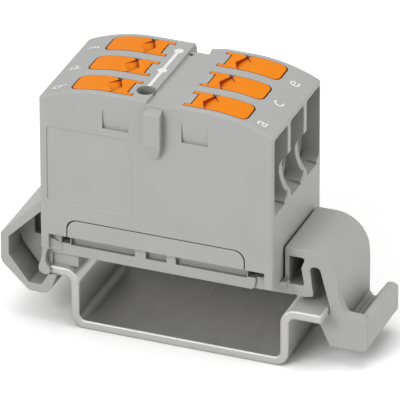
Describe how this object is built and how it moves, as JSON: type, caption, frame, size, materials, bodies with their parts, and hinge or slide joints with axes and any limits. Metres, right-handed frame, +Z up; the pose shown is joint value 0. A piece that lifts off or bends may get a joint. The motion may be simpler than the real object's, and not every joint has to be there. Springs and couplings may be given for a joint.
{
  "type": "power distribution block",
  "caption": "Push-in distribution block with spring clamps, press levers and a test socket, held by its clip foot on a short length of mounting rail.",
  "frame": {"origin": "middle of the rail's underside", "axes": "+X across the rail towards the arm with the screwdriver pocket, +Y along the rail to the back of the block, +Z up"},
  "size_m": [0.0445, 0.0174, 0.0318],
  "materials": {
    "housing_plastic": "fine matte, light grey",
    "foot_plastic": "fine matte, light grey",
    "lever_plastic": "satin, orange",
    "rail_steel": "zinc plated and passivated",
    "contact_metal": "tin plated",
    "spring_steel": "bright strip"
  },
  "bodies": {
    "base": {"housing": "housing_plastic", "base_cover": "housing_plastic", "rail_foot": "foot_plastic", "mounting_rail": "rail_steel", "busbar": "contact_metal", "spring_a": "spring_steel", "spring_b": "spring_steel", "spring_c": "spring_steel", "spring_d": "spring_steel", "spring_e": "spring_steel", "spring_f": "spring_steel"},
    "lever_b": {"lever_b": "lever_plastic"},
    "lever_d": {"lever_d": "lever_plastic"},
    "lever_f": {"lever_f": "lever_plastic"},
    "lever_a": {"lever_a": "lever_plastic"},
    "lever_c": {"lever_c": "lever_plastic"},
    "lever_e": {"lever_e": "lever_plastic"}
  },
  "joints": [
    {"name": "press_b", "type": "hinge", "parent": "base", "child": "lever_b", "pos_m": [-0.00725, -0.0052, 0.0297], "axis": [0, -1, 0], "range_deg": [0, 8], "stiffness_Nm_per_rad": 0.2, "springref_deg": -5.73, "deforming": ["spring_b"]},
    {"name": "press_d", "type": "hinge", "parent": "base", "child": "lever_d", "pos_m": [-0.00725, 0, 0.0297], "axis": [0, -1, 0], "range_deg": [0, 8], "stiffness_Nm_per_rad": 0.2, "springref_deg": -5.73, "deforming": ["spring_d"]},
    {"name": "press_f", "type": "hinge", "parent": "base", "child": "lever_f", "pos_m": [-0.00725, 0.0052, 0.0297], "axis": [0, -1, 0], "range_deg": [0, 8], "stiffness_Nm_per_rad": 0.2, "springref_deg": -5.73, "deforming": ["spring_f"]},
    {"name": "press_a", "type": "hinge", "parent": "base", "child": "lever_a", "pos_m": [0.00215, -0.0052, 0.0297], "axis": [0, 1, 0], "range_deg": [0, 8], "stiffness_Nm_per_rad": 0.2, "springref_deg": -5.73, "deforming": ["spring_a"]},
    {"name": "press_c", "type": "hinge", "parent": "base", "child": "lever_c", "pos_m": [0.00215, 0, 0.0297], "axis": [0, 1, 0], "range_deg": [0, 8], "stiffness_Nm_per_rad": 0.2, "springref_deg": -5.73, "deforming": ["spring_c"]},
    {"name": "press_e", "type": "hinge", "parent": "base", "child": "lever_e", "pos_m": [0.00215, 0.0052, 0.0297], "axis": [0, 1, 0], "range_deg": [0, 8], "stiffness_Nm_per_rad": 0.2, "springref_deg": -5.73, "deforming": ["spring_e"]}
  ]
}
